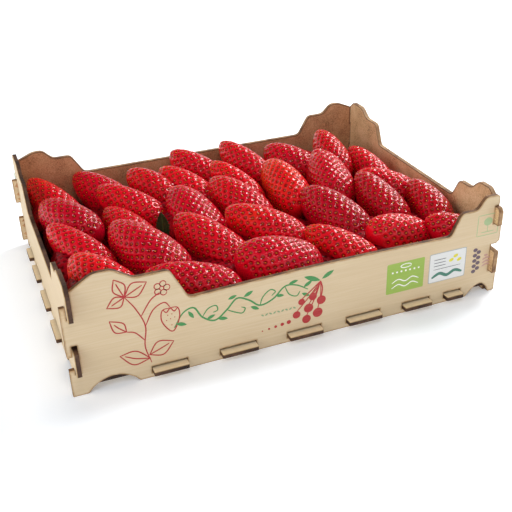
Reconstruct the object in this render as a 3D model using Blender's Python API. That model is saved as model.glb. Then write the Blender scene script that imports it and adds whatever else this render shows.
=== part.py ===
"""A shallow wooden crate heaped with strawberries.

Five thin boards slot together without nails. The two end panels carry fingers that pass through the
corners of the two long panels, the long panels carry hooked heads outside the end panels, and the base
passes its tabs through slots low in all four. Every panel rises in two steps to a tower at each corner
and stands on arched feet.

Frame: +X runs along the crate, +Y to the back, +Z up. The origin is the middle of the underside.
"""

import math
import random

import bmesh
import bpy
import numpy as np
from mathutils.geometry import tessellate_polygon

MM = 0.001

# Crate sizes in millimetres
LENGTH = 300.0
WIDTH = 213.0
BOARD = 3.0
HEAD_REACH = 3.6
FINGER_REACH = 5.0
FIT = 0.3
TAB_BOTTOM = 3.5
SLOT_HEIGHT = 4.8
CORNER_ROUND = 0.8

END_FACE = LENGTH / 2 - HEAD_REACH
LONG_FACE = WIDTH / 2

# Towers, measured inwards from the corner: end of the high step, start and end of the middle step and
# start of the rim, then the heights of the high and the middle step and of the rim beside them
FRONT_LEFT_TOWER = (28.6, 40.7, 62.2, 72.9, 80.5, 72.3, 50.7)
FRONT_RIGHT_TOWER = (10.7, 16.6, 28.9, 36.2, 75.0, 66.4, 50.7)
BACK_TOWER = (22.6, 30.0, 43.6, 53.0, 77.0, 69.5, 54.0)
LEFT_TOWER = (21.0, 29.4, 44.6, 55.7, 77.0, 70.0, 51.0)
RIGHT_FRONT_TOWER = (20.5, 29.1, 42.9, 51.0, 77.0, 69.0, 54.5)
RIGHT_BACK_TOWER = (22.8, 31.9, 48.1, 55.0, 77.0, 70.5, 54.5)
STEP_ROUND = 3.0
FRONT_RIM_BOW = 1.6

# Base tabs as pairs of start and end along each side, the same on opposite sides
LONG_TABS = ((-100.4, -78.0), (-56.0, -31.7), (-9.7, 14.0), (33.0, 57.8), (75.5, 96.5), (108.4, 121.6))
END_TABS = ((-51.0, -26.0), (-10.0, 16.0), (32.0, 56.0), (68.0, 85.0))

# Arches under the panels: start, end, height, and the power that leans the crown to one side
LONG_ARCHES = ((-140.4, -108.4, 8.7, 1.0), (126.2, 145.2, 8.2, 1.3))
END_ARCHES = ((-97.0, -67.0, 8.2, 1.0), (88.5, 101.5, 7.0, 1.2))
ARCH_SEGMENTS = 10

# Heap of fruit: each berry by the place of its tip, the way its stem end points (degrees from +X towards
# -Y, and degrees downwards), its length and its width
BERRIES = {
    "back_left_corner": (-138, 97, 58, 63, 21, 66, 26),
    "left_wall_back": (-136, 51, 57, 56, 13, 58, 30),
    "left_wall_middle": (-137, 15, 56, 61, 13, 68, 24),
    "front_left_corner": (-131, -35, 55, 57, 17, 60, 31),
    "back_wall_left": (-103, 101, 54, 52, 19, 64, 27),
    "second_row_upper": (-92, 62, 57, 49, 16, 62, 25),
    "second_row_middle": (-93, 35, 51, 65, 18, 61, 27),
    "second_row_large": (-97, -5, 58, 61, 16, 74, 35),
    "front_wall_left": (-92, -72, 53, 22, 12, 63, 27),
    "back_wall_short": (-63, 85, 56, 59, 16, 52, 24),
    "third_row_slim": (-39, 77, 57, 58, 19, 60, 25),
    "third_row_wide": (-41, 35, 58, 74, 29, 64, 36),
    "third_row_front": (-52, -7, 56, 59, 20, 71, 30),
    "back_wall_high_left": (-23, 100, 60, 48, 23, 58, 25),
    "fourth_row_slim": (1, 67, 59, 66, 20, 60, 22),
    "fourth_row_middle": (-9, 40, 57, 67, 18, 66, 30),
    "fourth_row_front": (-16, -12, 56, 46, 16, 67, 29),
    "back_wall_high_right": (20, 99, 61, 67, 17, 61, 23),
    "front_wall_middle": (-31, -71, 54, 18, 18, 60, 37),
    "back_wall_low": (54, 85, 56, 54, 16, 55, 27),
    "orange_fifth_row": (42, 51, 58, 87, 16, 65, 31),
    "sixth_row_back": (83, 47, 61, 96, 16, 67, 32),
    "back_right_high": (101, 81, 64, 91, 21, 59, 25),
    "back_right_corner": (116, 52, 57, 81, 19, 56, 23),
    "right_pair_front": (95, -1, 59, 83, 17, 65, 26),
    "right_pair_back": (99, 7, 55, 45, 15, 49, 25),
    "right_wall": (127, -25, 56, 90, 15, 55, 24),
    "fifth_row_front": (47, -8, 58, 69, 18, 67, 31),
    "front_wall_low": (26, -57, 53, 49, 18, 57, 25),
    "front_wall_right": (64, -76, 56, 0, 25, 52, 28),
    "front_right_corner": (106, -80, 53, 27, 16, 38, 21),
}
WIDEST_AT = 0.64
TIP_TAPER = 0.55
BELLY = 0.60
TOP_RINGS, TOP_SIDES = 8, 12
LOWER_RINGS, LOWER_SIDES = 6, 8

# Second layer, which shows in the gaps of the first: staggered rows of like berries, a little uneven
LOWER_START = (-136.0, 98.0)
LOWER_PITCH = (42.0, 36.0)
LOWER_BERRY = (40.0, 58.0, 19.0, 60.0, 30.0)
LOWER_SPREAD = (2.0, 14.0, 0.0, 5.0, 3.0)
LOWER_WANDER = 4.0
LOWER_SEED = 5
INSIDE = (END_FACE - BOARD - 1.5, LONG_FACE - BOARD - 1.5)

# Fruit below both layers, as one block
CORE_INSET = 3.0
CORE_TOP = 34.0
CORE_EDGE_DROP = 8.0

# Leaf that stands in the gap behind the large berry of the second row
LEAF_FOOT = (-62.5, -12.0, 45.0)
LEAF_TIP = (-63.5, -15.0, 65.0)
LEAF_WIDTH = 8.0
LEAF_THICKNESS = 0.6
LEAF_ROWS = 8
LEAF_COLUMNS = 4


def clear_scene():
    """Remove whatever the scene holds."""
    for thing in list(bpy.data.objects):
        bpy.data.objects.remove(thing, do_unlink=True)


def material(name, colour, roughness):
    """Principled material with a plain colour."""
    made = bpy.data.materials.new(name)
    made.use_nodes = True
    shader = made.node_tree.nodes["Principled BSDF"]
    shader.inputs["Base Color"].default_value = (*colour, 1.0)
    shader.inputs["Roughness"].default_value = roughness
    shader.inputs["Metallic"].default_value = 0.0
    return made


def add_object(name, vertices, faces, finish):
    """Object from vertices in millimetres."""
    mesh = bpy.data.meshes.new(name)
    mesh.from_pydata([[c * MM for c in v] for v in vertices], [], faces)
    mesh.update()
    mesh.materials.append(finish)
    made = bpy.data.objects.new(name, mesh)
    bpy.context.scene.collection.objects.link(made)
    return made


def rounded(points, segments=3):
    """Outline with each corner that gives a radius turned into an arc-like curve.

    A point is (u, v) or (u, v, radius). The curve is a quadratic one that leaves the corner's two sides
    at the radius from it, or at 45 % of the shorter side if that is less.
    """
    outline = []
    count = len(points)
    for i, point in enumerate(points):
        here = np.array(point[:2], float)
        if len(point) < 3 or point[2] <= 0:
            outline.append(tuple(here))
            continue
        before = np.array(points[i - 1][:2], float) - here
        after = np.array(points[(i + 1) % count][:2], float) - here
        reach = min(point[2], 0.45 * np.linalg.norm(before), 0.45 * np.linalg.norm(after))
        start = here + before / np.linalg.norm(before) * reach
        end = here + after / np.linalg.norm(after) * reach
        for t in np.linspace(0.0, 1.0, segments + 1):
            outline.append(tuple((1 - t) ** 2 * start + 2 * t * (1 - t) * here + t ** 2 * end))
    return outline


def plate(name, outline, holes, place, finish):
    """Closed board from an outline and rectangular holes, both counter-clockwise in (u, v).

    place(u, v, side) gives the point in space, with side 0 for the board's first face and 1 for the
    second, so that u, v and the way from side 0 to side 1 make a right-handed set.
    """
    loops = [outline] + [list(reversed(hole)) for hole in holes]
    flat = [p for loop in loops for p in loop]
    total = len(flat)
    triangles = tessellate_polygon([[(u, v, 0.0) for u, v in loop] for loop in loops])
    vertices = [place(u, v, side) for side in (0, 1) for u, v in flat]
    faces = []
    for a, b, c in triangles:
        turn = (flat[b][0] - flat[a][0]) * (flat[c][1] - flat[a][1])
        turn -= (flat[b][1] - flat[a][1]) * (flat[c][0] - flat[a][0])
        if turn < 0:
            b, c = c, b
        faces.append((a, c, b))
        faces.append((a + total, b + total, c + total))
    first = 0
    for loop in loops:
        for k in range(len(loop)):
            here = first + k
            following = first + (k + 1) % len(loop)
            faces.append((here, following, following + total, here + total))
        first += len(loop)
    return add_object(name, vertices, faces, finish)


def long_place(face):
    """Placing function of a long panel whose first face is at y = face + BOARD and second at y = face."""
    return lambda u, v, side: (u, face + BOARD * (1 - side), v)


def end_place(face):
    """Placing function of an end panel between x = face and x = face + BOARD."""
    return lambda u, v, side: (face + BOARD * side, u, v)


def base_place(u, v, side):
    """Placing function of the base, from its underside up."""
    return (u, v, TAB_BOTTOM + BOARD * side)


def arch(start, end, height, lean):
    """Points of an arch in the underside, from start to end."""
    points = []
    for k in range(ARCH_SEGMENTS + 1):
        t = k / ARCH_SEGMENTS
        rise = max(math.sin(math.pi * t ** lean), 0.0) ** 0.75 if 0 < k < ARCH_SEGMENTS else 0.0
        points.append((start + (end - start) * t, height * rise))
    return points


def slots(tabs):
    """Slots that the base's tabs pass through."""
    low = TAB_BOTTOM - FIT
    high = low + SLOT_HEIGHT
    return [[(a - FIT, low), (b + FIT, low), (b + FIT, high), (a - FIT, high)] for a, b in tabs]


def tower(face, inwards, steps):
    """Top outline of one tower, from the corner inwards. inwards is +1 or -1 along u."""
    high_end, middle_start, middle_end, rim_start, high, middle, rim = steps
    distances = ((high_end, high), (middle_start, middle), (middle_end, middle), (rim_start, rim))
    return [(face + inwards * d, z, STEP_ROUND) for d, z in distances]


def edge(face, inwards, points):
    """Side outline of a panel, from the underside up. Distances run inwards from the corner."""
    return [(face + inwards * p[0], *p[1:]) for p in points]


def panel_outline(half, arches, left_edge, right_edge, left_tower, right_tower, bow):
    """Whole outline of a panel, counter-clockwise from its lower left corner."""
    outline = [(-half + left_edge[0][0], left_edge[0][1])]
    for one in arches:
        outline += arch(*one)
    outline += edge(half, -1, right_edge)
    outline += tower(half, -1, right_tower)
    rim_right = half - right_tower[3]
    rim_left = -half + left_tower[3]
    for k in range(1, 8 if bow else 1):
        t = k / 8
        rim = right_tower[6] + (left_tower[6] - right_tower[6]) * t
        outline.append((rim_right + (rim_left - rim_right) * t, rim + bow * math.sin(math.pi * t)))
    outline += list(reversed(tower(-half, 1, left_tower)))
    outline += list(reversed(edge(-half, 1, left_edge)[1:]))
    return rounded(outline)


def hooked_edge_open_top():
    """Long panel beside a full-height finger: hook, slot, head and a slot that is open at the top."""
    inner = BOARD + FIT
    return [(-HEAD_REACH, 0.0, CORNER_ROUND), (-HEAD_REACH, 19.0), (-FIT, 19.0), (-FIT, 16.0), (inner, 16.0),
            (inner, 36.0, CORNER_ROUND), (-FIT, 36.0), (-FIT, 28.5), (-HEAD_REACH, 28.5),
            (-HEAD_REACH, 62.5), (-FIT, 62.5), (-FIT, 54.0), (inner, 54.0), (inner, 72.0),
            (17.3, 80.5, STEP_ROUND)]


def hooked_edge_open_side():
    """Long panel whose upper arm lies over the finger and whose slots are open at the side."""
    inner = BOARD + FIT
    return [(-HEAD_REACH, 0.0, CORNER_ROUND), (-HEAD_REACH, 17.0, CORNER_ROUND), (inner, 17.0), (inner, 38.0),
            (-1.2, 38.0), (-HEAD_REACH, 40.0), (-HEAD_REACH, 53.7, CORNER_ROUND), (inner, 53.7),
            (inner, 67.3), (0.0, 67.3), (0.0, 75.0, 2.5)]


def back_edge():
    """Long panel at a back corner: two heads, with the end panel's fingers above each."""
    inner = BOARD + FIT
    return [(0.0, 0.0), (0.0, 5.0), (-HEAD_REACH, 5.0, CORNER_ROUND), (-HEAD_REACH, 25.0, CORNER_ROUND),
            (inner, 25.0), (inner, 38.0), (-HEAD_REACH, 38.0, CORNER_ROUND),
            (-HEAD_REACH, 57.0, CORNER_ROUND), (inner, 57.0), (inner, 72.0), (15.0, 77.0, STEP_ROUND)]


def finger_edge(lower, upper, upper_top, ending):
    """End panel's side with two fingers, each given as its lowest and highest point."""
    inner = BOARD + FIT
    reach = -FINGER_REACH
    return [(inner, 0.0), (inner, lower[0]), (reach, lower[0], CORNER_ROUND), (reach, lower[1], CORNER_ROUND),
            (inner, lower[1]), (inner, upper), (reach, upper, CORNER_ROUND), (reach, upper_top)] + ending


def long_panel(name, face, arches, left_edge, right_edge, left_tower, right_tower, bow, finish):
    """Front or back panel. Its outer face is at -Y for the front and at +Y for the back."""
    outline = panel_outline(END_FACE, arches, left_edge, right_edge, left_tower, right_tower, bow)
    return plate(name, outline, slots(LONG_TABS), long_place(face), finish)


def end_panel(name, face, front_edge, rear_edge, front_tower, rear_tower, finish):
    """Left or right panel, drawn with u from the front to the back."""
    outline = panel_outline(LONG_FACE, END_ARCHES, front_edge, rear_edge, front_tower, rear_tower, 0.0)
    return plate(name, outline, slots(END_TABS), end_place(face), finish)


def base_panel(finish):
    """Base board with a tab through every slot."""
    half_x = END_FACE - BOARD - FIT
    half_y = LONG_FACE - BOARD - FIT
    out_x = END_FACE + HEAD_REACH
    out_y = LONG_FACE + FINGER_REACH
    outline = [(-half_x, -half_y)]
    for a, b in LONG_TABS:
        outline += [(a, -half_y), (a, -out_y, CORNER_ROUND), (b, -out_y, CORNER_ROUND), (b, -half_y)]
    outline.append((half_x, -half_y))
    for a, b in END_TABS:
        outline += [(half_x, a), (out_x, a, CORNER_ROUND), (out_x, b, CORNER_ROUND), (half_x, b)]
    outline.append((half_x, half_y))
    for a, b in reversed(LONG_TABS):
        outline += [(b, half_y), (b, out_y, CORNER_ROUND), (a, out_y, CORNER_ROUND), (a, half_y)]
    outline.append((-half_x, half_y))
    for a, b in reversed(END_TABS):
        outline += [(-half_x, b), (-out_x, b, CORNER_ROUND), (-out_x, a, CORNER_ROUND), (-half_x, a)]
    return plate("base_panel", rounded(outline), [], base_place, finish)


def berry_profile(s):
    """Radius of a berry, as a share of its greatest, at the share s of the way from tip to stem end."""
    if s < WIDEST_AT:
        return (1 - (1 - s / WIDEST_AT) ** 2) ** TIP_TAPER
    return max(1 - ((s - WIDEST_AT) / (1 - WIDEST_AT)) ** 2.4, 0.0) ** 0.5


def berry_axes(heading, dip):
    """Unit vectors along a berry from tip to stem end, across it and up its back."""
    h, d = math.radians(heading), math.radians(dip)
    along = np.array([math.cos(h) * math.cos(d), -math.sin(h) * math.cos(d), -math.sin(d)])
    across = np.cross(along, [0.0, 0.0, 1.0])
    across /= np.linalg.norm(across)
    return along, across, np.cross(across, along)


def berry_solid(name, numbers, rings, sides, belly, finish):
    """One berry as a closed solid of rings between its two poles, deeper below than above by its belly."""
    x, y, z, heading, dip, length, width = numbers
    along, across, back = berry_axes(heading, dip)
    tip = np.array([x, y, z], float)
    vertices = [tip]
    for ring in range(1, rings):
        s = (1 - math.cos(math.pi * ring / rings)) / 2
        radius = width / 2 * berry_profile(s)
        for side in range(sides):
            turn = 2 * math.pi * (side + 0.5 * (ring % 2)) / sides
            deeper = 1 + belly * max(-math.sin(turn), 0.0) ** 2
            outwards = math.cos(turn) * across + math.sin(turn) * back
            vertices.append(tip + along * length * s + outwards * radius * deeper)
    vertices.append(tip + along * length)
    last = len(vertices) - 1
    faces = []
    for side in range(sides):
        following = (side + 1) % sides
        faces.append((0, 1 + following, 1 + side))
        for ring in range(rings - 2):
            low = 1 + ring * sides
            high = low + sides
            if ring % 2:
                faces.append((low + side, low + following, high + side))
                faces.append((low + following, high + following, high + side))
            else:
                faces.append((low + side, high + following, high + side))
                faces.append((low + side, low + following, high + following))
        low = 1 + (rings - 2) * sides
        faces.append((last, low + side, low + following))
    return add_object(name, vertices, faces, finish)


def lower_layer():
    """Berries of the second layer, each moved in from the walls where its row would run through one."""
    draw = random.Random(LOWER_SEED)
    berries = []
    row = 0
    y = LOWER_START[1]
    while y > -LOWER_START[1]:
        x = LOWER_START[0] + LOWER_PITCH[0] / 2 * (row % 2)
        while x < -LOWER_START[0]:
            z, heading, dip, length, width = [
                mean + draw.uniform(-spread, spread) for mean, spread in zip(LOWER_BERRY, LOWER_SPREAD)]
            tip = [x + draw.uniform(-LOWER_WANDER, LOWER_WANDER), y + draw.uniform(-LOWER_WANDER, LOWER_WANDER)]
            along = berry_axes(heading, dip)[0]
            for k in (0, 1):
                stations = [(along[k] * length * t, width / 2 * berry_profile(t)) for t in np.linspace(0, 1, 11)]
                slant = math.sqrt(1 - along[k] ** 2)
                low = tip[k] + min(centre - radius * slant for centre, radius in stations)
                high = tip[k] + max(centre + radius * slant for centre, radius in stations)
                tip[k] += max(-INSIDE[k] - low, 0.0) - max(high - INSIDE[k], 0.0)
            berries.append((tip[0], tip[1], z, heading, dip, length, width))
            x += LOWER_PITCH[0]
        y -= LOWER_PITCH[1]
        row += 1
    return berries


def heap_core(finish):
    """Block under the berries that show, with its top edge bevelled off towards the walls."""
    x = END_FACE - BOARD - CORE_INSET
    y = LONG_FACE - BOARD - CORE_INSET
    low = TAB_BOTTOM + BOARD + FIT
    drop = CORE_EDGE_DROP
    rings = [(x, y, low), (x, y, CORE_TOP - drop), (x - drop, y - drop, CORE_TOP)]
    vertices = [(sx * rx, sy * ry, z) for rx, ry, z in rings for sx, sy in ((-1, -1), (1, -1), (1, 1), (-1, 1))]
    faces = [(3, 2, 1, 0), (8, 9, 10, 11)]
    for ring in (0, 4):
        for k in range(4):
            following = (k + 1) % 4
            faces.append((ring + k, ring + following, ring + following + 4, ring + k + 4))
    return add_object("strawberries", vertices, faces, finish)


def strawberries(finish):
    """The heap as one solid: the core with every berry of both layers joined to it."""
    heap = heap_core(finish)
    berries = [berry_solid(name, numbers, TOP_RINGS, TOP_SIDES, BELLY, finish) for name, numbers in BERRIES.items()]
    berries += [berry_solid("lower", numbers, LOWER_RINGS, LOWER_SIDES, 0.0, finish) for numbers in lower_layer()]
    group = bpy.data.collections.new("berries")
    for berry in berries:
        bpy.context.scene.collection.objects.unlink(berry)
        group.objects.link(berry)
    join = heap.modifiers.new("join", "BOOLEAN")
    join.operation = "UNION"
    join.operand_type = "COLLECTION"
    join.collection = group
    join.solver = "EXACT"
    bpy.context.view_layer.update()
    joined = bpy.data.meshes.new_from_object(heap.evaluated_get(bpy.context.evaluated_depsgraph_get()))
    heap.modifiers.remove(join)
    heap.data = joined
    for berry in list(group.objects):
        bpy.data.objects.remove(berry, do_unlink=True)
    bpy.data.collections.remove(group)
    keep_largest_shell(heap)
    return heap


def keep_largest_shell(thing):
    """Weld the mesh, split it into triangles and drop every loose scrap."""
    shape = bmesh.new()
    shape.from_mesh(thing.data)
    bmesh.ops.remove_doubles(shape, verts=shape.verts, dist=0.00002)
    bmesh.ops.dissolve_degenerate(shape, edges=shape.edges, dist=0.00002)
    bmesh.ops.triangulate(shape, faces=shape.faces)
    unseen = set(shape.faces)
    shells = []
    while unseen:
        start = unseen.pop()
        shell = [start]
        queue = [start]
        while queue:
            for near in {f for e in queue.pop().edges for f in e.link_faces}:
                if near in unseen:
                    unseen.remove(near)
                    shell.append(near)
                    queue.append(near)
        shells.append(shell)
    shells.sort(key=len)
    bmesh.ops.delete(shape, geom=[f for shell in shells[:-1] for f in shell], context="FACES")
    shape.to_mesh(thing.data)
    shape.free()


def leaf(finish):
    """Thin pointed leaf with a curl across it and a wave along it, both faces split alike."""
    foot, tip = np.array(LEAF_FOOT), np.array(LEAF_TIP)
    along = tip - foot
    across = np.array([1.0, -0.35, 0.0]) / math.hypot(1.0, 0.35)
    normal = np.cross(across, along / np.linalg.norm(along))
    vertices = []
    for side in (-0.5, 0.5):
        for i in range(LEAF_ROWS + 1):
            t = i / LEAF_ROWS
            half = LEAF_WIDTH / 2 * (0.12 + 0.88 * math.sin(math.pi * min(0.25 + 0.75 * t, 0.98)) ** 0.8)
            for j in range(LEAF_COLUMNS + 1):
                s = 2 * j / LEAF_COLUMNS - 1
                lift = 0.9 * s * s + 0.5 * math.sin(2.2 * math.pi * t + s)
                vertices.append(foot + along * t + across * half * s + normal * (lift + side * LEAF_THICKNESS))
    width = LEAF_COLUMNS + 1
    layer = width * (LEAF_ROWS + 1)
    faces = []
    for i in range(LEAF_ROWS):
        for j in range(LEAF_COLUMNS):
            a = i * width + j
            faces += [(a, a + width + 1, a + 1), (a, a + width, a + width + 1)]
            faces += [(a + layer, a + 1 + layer, a + width + 1 + layer)]
            faces += [(a + layer, a + width + 1 + layer, a + width + layer)]
    rim = [j for j in range(width)]
    rim += [i * width + width - 1 for i in range(1, LEAF_ROWS + 1)]
    rim += [LEAF_ROWS * width + j for j in range(width - 2, -1, -1)]
    rim += [i * width for i in range(LEAF_ROWS - 1, 0, -1)]
    for a, b in zip(rim, rim[1:] + rim[:1]):
        faces += [(a, b, b + layer), (a, b + layer, a + layer)]
    return add_object("leaf", vertices, faces, finish)


def main():
    clear_scene()
    veneer = material("pale_wood_veneer", (0.60, 0.47, 0.30), 0.6)
    hardboard = material("brown_hardboard", (0.35, 0.16, 0.08), 0.7)
    flesh = material("strawberry_flesh", (0.55, 0.01, 0.01), 0.3)
    green = material("green_leaf", (0.03, 0.05, 0.01), 0.6)
    base_panel(hardboard)
    long_panel("front_panel", -LONG_FACE, LONG_ARCHES, hooked_edge_open_top(), hooked_edge_open_side(),
               FRONT_LEFT_TOWER, FRONT_RIGHT_TOWER, FRONT_RIM_BOW, veneer)
    long_panel("back_panel", LONG_FACE - BOARD, LONG_ARCHES, back_edge(), back_edge(),
               BACK_TOWER, BACK_TOWER, 0.0, veneer)
    full_finger = [(0.0, 77.0)]
    end_panel("left_panel", -END_FACE,
              finger_edge((16.3, 33.0), 54.3, 72.0, full_finger),
              finger_edge((25.3, 37.7), 57.3, 72.0, full_finger), LEFT_TOWER, LEFT_TOWER, veneer)
    end_panel("right_panel", END_FACE - BOARD,
              finger_edge((17.3, 34.5), 54.0, 64.5, [(-3.0, 67.0), (3.3, 67.0), (3.3, 72.5), (9.0, 77.0, 1.5)]),
              finger_edge((25.3, 37.7), 57.3, 65.0, [(0.0, 70.5), (8.0, 77.0, 1.5)]),
              RIGHT_FRONT_TOWER, RIGHT_BACK_TOWER, veneer)
    strawberries(flesh)
    leaf(green)


main()
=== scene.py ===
"""Looks of a shallow wooden crate heaped with strawberries.

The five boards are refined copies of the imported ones: veneer outside, hardboard inside, crisp cut edges and a
scorched border along every cut. The fruit, its seeds, the leaf and the print are surfaces worked out with
numpy. Lengths are in millimetres until a mesh is made: +X runs along the crate, +Y to the back, +Z up.
"""

import math
import random

import bpy
import numpy as np
from mathutils import Matrix, Vector
from mathutils.geometry import delaunay_2d_cdt


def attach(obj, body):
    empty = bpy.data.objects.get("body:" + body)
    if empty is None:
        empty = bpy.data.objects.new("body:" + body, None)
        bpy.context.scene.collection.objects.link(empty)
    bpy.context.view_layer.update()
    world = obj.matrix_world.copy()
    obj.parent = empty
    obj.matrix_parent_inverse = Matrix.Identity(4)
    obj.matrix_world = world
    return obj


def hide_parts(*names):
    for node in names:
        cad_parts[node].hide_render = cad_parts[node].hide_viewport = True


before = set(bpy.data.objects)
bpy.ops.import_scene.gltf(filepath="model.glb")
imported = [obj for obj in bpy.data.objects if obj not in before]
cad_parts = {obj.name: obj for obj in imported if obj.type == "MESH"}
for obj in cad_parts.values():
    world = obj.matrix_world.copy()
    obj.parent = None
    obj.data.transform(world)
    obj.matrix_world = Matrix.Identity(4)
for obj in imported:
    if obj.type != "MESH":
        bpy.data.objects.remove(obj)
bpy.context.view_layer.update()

MM = 0.001
FULL_TURN = 2 * math.pi
GOLDEN_TURN = math.pi * (3 - math.sqrt(5))
# A colour Mix node's sockets by number, because their names repeat for each type of data
COLOUR_A, COLOUR_B, MIXED = 6, 7, 2

# Crate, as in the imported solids
END_FACE = 146.4
LONG_FACE = 106.5
BOARD = 3.0
INSIDE = (END_FACE - BOARD - 1.5, LONG_FACE - BOARD - 1.5)

# Scorch along the cuts: how far it reaches, the rows of points that draw it, the step along a row and the
# points round a corner, then the wide grid over the rest of a face and how far it keeps from a cut
SCORCH_REACH = 1.3
SCORCH_ROWS = (0.3, 0.7, 1.3)
ROW_STEP = 1.8
ROW_SLACK = 0.08
CORNER_POINTS = 16
GRID_STEP = 7.0
GRID_GAP = 2.5
# A triangle belongs to a face where its normal is this near the face's, points this near each other are one,
# and edges past this many degrees stay sharp
FACES_OUT = 0.99
MERGED_WITHIN = 1e-4
SHARP_ANGLE = 28.0

# Heap of fruit: each berry by the place of its tip, the way its stem end points (degrees from +X towards
# -Y, and degrees downwards), its length and width, then its hue (-1 crimson to 1 orange) and how light it is
BERRIES = {
    "back_left_corner": (-138, 97, 58, 63, 21, 66, 26, 0.25, 0.5),
    "left_wall_back": (-136, 51, 57, 56, 13, 58, 30, -0.9, 0.3),
    "left_wall_middle": (-137, 15, 56, 61, 13, 68, 24, -0.1, 0.6),
    "front_left_corner": (-131, -35, 55, 57, 17, 60, 31, 0.35, 0.8),
    "back_wall_left": (-103, 101, 54, 52, 19, 64, 27, -0.7, 0.4),
    "second_row_upper": (-92, 62, 57, 49, 16, 62, 25, -0.1, 0.6),
    "second_row_middle": (-93, 35, 51, 65, 18, 61, 27, 0.0, 0.5),
    "second_row_large": (-97, -5, 58, 61, 16, 74, 35, -0.5, 0.3),
    "front_wall_left": (-92, -72, 53, 22, 12, 63, 27, -0.5, 0.5),
    "back_wall_short": (-63, 85, 56, 59, 16, 52, 24, 0.25, 0.3),
    "third_row_slim": (-39, 77, 57, 58, 19, 60, 25, 0.2, 0.7),
    "third_row_wide": (-41, 35, 58, 74, 29, 64, 36, -0.8, 0.5),
    "third_row_front": (-52, -7, 56, 59, 20, 71, 30, 0.1, 0.5),
    "back_wall_high_left": (-23, 100, 60, 48, 23, 58, 25, -0.1, 0.4),
    "fourth_row_slim": (1, 67, 59, 66, 20, 60, 22, 0.3, 0.8),
    "fourth_row_middle": (-9, 40, 57, 67, 18, 66, 30, 0.0, 0.4),
    "fourth_row_front": (-16, -12, 56, 46, 16, 67, 29, 0.3, 0.5),
    "back_wall_high_right": (20, 99, 61, 67, 17, 61, 23, 0.0, 0.4),
    "front_wall_middle": (-31, -71, 54, 18, 18, 60, 37, -0.6, 0.5),
    "back_wall_low": (54, 85, 56, 54, 16, 55, 27, -0.7, 0.4),
    "orange_fifth_row": (42, 51, 58, 87, 16, 65, 31, 0.85, 0.6),
    "sixth_row_back": (83, 47, 61, 96, 16, 67, 32, -0.5, 0.4),
    "back_right_high": (101, 81, 64, 91, 21, 59, 25, 0.3, 0.0),
    "back_right_corner": (116, 52, 57, 81, 19, 56, 23, 0.0, 0.4),
    "right_pair_front": (95, -1, 59, 83, 17, 65, 26, -0.4, -0.3),
    "right_pair_back": (99, 7, 55, 45, 15, 49, 25, -0.1, 0.6),
    "right_wall": (127, -25, 56, 90, 15, 55, 24, -0.2, -0.3),
    "fifth_row_front": (47, -8, 58, 69, 18, 67, 31, -0.8, -0.2),
    "front_wall_low": (26, -57, 53, 49, 18, 57, 25, 0.3, 0.5),
    "front_wall_right": (64, -76, 56, 0, 25, 52, 28, 0.0, 0.6),
    "front_right_corner": (106, -80, 53, 27, 16, 38, 21, -0.4, 0.2),
}
# The berry with a furrow near its tip: how deep it is, where along the berry and how wide, as shares
FURROWED = "sixth_row_back"
FURROW, FURROW_AT, FURROW_WIDTH = 1.5, 0.15, 0.035
# Fruit that fills the gap along the left wall, lying beside it under the tips of the berries above
WALL_BERRIES = (
    (-131, 94, 40, 92, 2, 48, 22), (-131, 50, 40, 86, 2, 50, 23), (-131, 8, 40, 92, 2, 48, 23),
    (-130, -36, 41, 88, 2, 46, 23), (-129, -72, 38, 92, 0, 30, 22),
)
# Second layer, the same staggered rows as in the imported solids
LOWER_START = (-136.0, 98.0)
LOWER_PITCH = (42.0, 36.0)
LOWER_BERRY = (40.0, 58.0, 19.0, 60.0, 30.0)
LOWER_SPREAD = (2.0, 14.0, 0.0, 5.0, 3.0)
LOWER_WANDER = 4.0
LOWER_SEED = 5

# Form of a berry: where it is widest, how its tip tapers and its stem end closes, how much deeper it is
# below, how far its axis bows, and its lobes round it: how many, the least and the most height, and the most
# that they turn along it. Then any turn to start from, and the steps in which a berry is measured
WIDEST_AT = 0.64
TIP_TAPER = 0.55
STEM_TAPER = 2.4
BELLY = 0.60
BOW = 1.3
LOBES = ((2, 0.008, 0.022, 1), (3, 0.004, 0.016, 2), (5, 0.002, 0.006, 3))
ANY_TURN = 6.3
FINE_STEPS = 600
SMALL_SHARE, SMALL_TURN = 0.002, 0.01
FRUIT_SEED = 11
BERRIES_A_PIECE = 6

# Skin: spacing of the mesh and how far round a berry it is fine, for the top berries and the lower layer,
# then the pitch of the pits and the stretch of a berry that has them, the skin that one pit has at a pitch of
# 1, the form of a pit, and how much smaller pits are close to the tip
TOP_MESH = 0.63
LOWER_MESH = 1.5
SHOWN_TURN = 118.0
LOWER_SHOWN_TURN = 75.0
PIT_PITCH = 4.8
PIT_PITCH_AT_TIP = 2.9
PITCH_REACH = 7.0
PIT_WANDER = 0.3
PITS_FROM, PITS_TO = 0.004, 0.95
HEXAGON = 0.866
PIT_RADIUS = 1.80
PIT_DEPTH = 0.85
RIM_RADIUS = 2.2
RIM_WIDTH = 0.40
RIM_HEIGHT = 0.05
PIT_REACH = 3.0
TIP_SHRINK = 0.3
TIP_REACH = 6.0
# Seed: half its length, width and thickness, how far its middle stands above the pit's floor, how its size
# varies, then its tone from rusty to golden and how much more olive it is close to the tip
SEED_SIZE = (0.76, 0.46, 0.34)
SEED_RISE = 0.28
SEED_SPREAD = (0.85, 1.12)
SEED_TONES = (0.25, 0.75)
SEED_GREEN, SEED_GREEN_REACH = 0.45, 0.10

# Tint of the skin: hue and lightness of an even berry, what the table above adds to them, and how much the
# hue falls from tip to stem end, then those of the lower layer, whose low lightness is painted shade
HUE, HUE_SPREAD, HUE_FALL, HUE_EVEN_AT = 0.30, 0.28, 0.22, 0.45
LIGHT, LIGHT_SPREAD = 0.86, 0.28
SHADE_HUE, SHADE_LIGHT = 0.2, 0.45

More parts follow.
